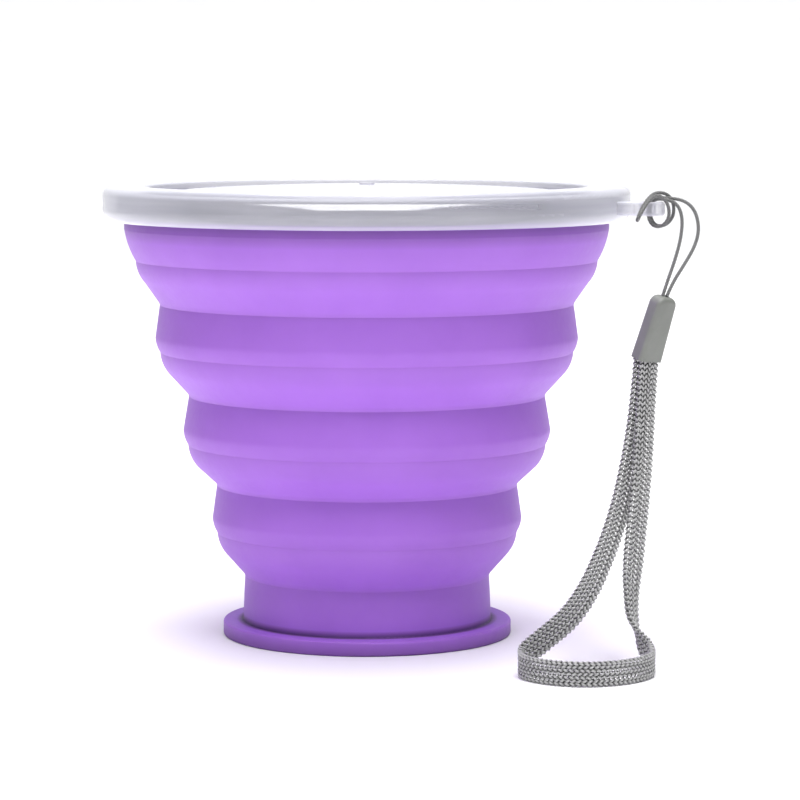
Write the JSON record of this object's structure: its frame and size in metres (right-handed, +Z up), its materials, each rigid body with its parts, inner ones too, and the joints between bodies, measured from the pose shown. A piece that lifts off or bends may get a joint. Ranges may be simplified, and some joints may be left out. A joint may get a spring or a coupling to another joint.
{
  "type": "collapsible cup",
  "caption": "Tapered silicone travel cup that folds flat in stacked rings, with a steel rim, a translucent snap lid and a braided wrist strap on the lid's tab.",
  "frame": {"origin": "middle of the foot's underside", "axes": "+Z up, +X the side of the lid's tab, -Y the front"},
  "size_m": [0.1041, 0.1008, 0.0807],
  "materials": {
    "silicone": "matt moulded silicone, soft sheen, purple",
    "steel": "drawn stainless strip, fine lines round the ring",
    "lid_plastic": "translucent natural polypropylene, smooth with a soft gloss",
    "cord": "thin braided grey cord",
    "clip_plastic": "grey moulded plastic, fine satin",
    "braid": "flat silver-grey braid, shiny strands in a herringbone"
  },
  "bodies": {
    "rim": {"rim_band": "silicone", "steel_rim": "steel", "silicone_pleat_4": "silicone"},
    "ring_3": {"silicone_ring_3": "silicone", "silicone_pleat_3": "silicone"},
    "ring_2": {"silicone_ring_2": "silicone", "silicone_pleat_2": "silicone"},
    "ring_1": {"silicone_ring_1": "silicone", "silicone_pleat_1": "silicone"},
    "base": {"silicone_base": "silicone"},
    "lid": {"lid": "lid_plastic", "lanyard_cord": "cord", "lanyard_clip": "clip_plastic", "lanyard_strap": "braid"}
  },
  "joints": [
    {"name": "fold_4", "type": "slide", "parent": "rim", "child": "ring_3", "axis": [0, 0, -1], "range_m": [-0.0135, 0], "deforming": ["silicone_pleat_4"]},
    {"name": "fold_3", "type": "slide", "parent": "ring_3", "child": "ring_2", "axis": [0, 0, -1], "range_m": [-0.0135, 0], "deforming": ["silicone_pleat_3"]},
    {"name": "fold_2", "type": "slide", "parent": "ring_2", "child": "ring_1", "axis": [0, 0, -1], "range_m": [-0.0135, 0], "deforming": ["silicone_pleat_2"]},
    {"name": "fold_1", "type": "slide", "parent": "ring_1", "child": "base", "axis": [0, 0, -1], "range_m": [-0.0135, 0], "deforming": ["silicone_pleat_1"]},
    {"name": "lid_lift", "type": "slide", "parent": "rim", "child": "lid", "axis": [0, 0, 1], "range_m": [0, 0.04]}
  ]
}
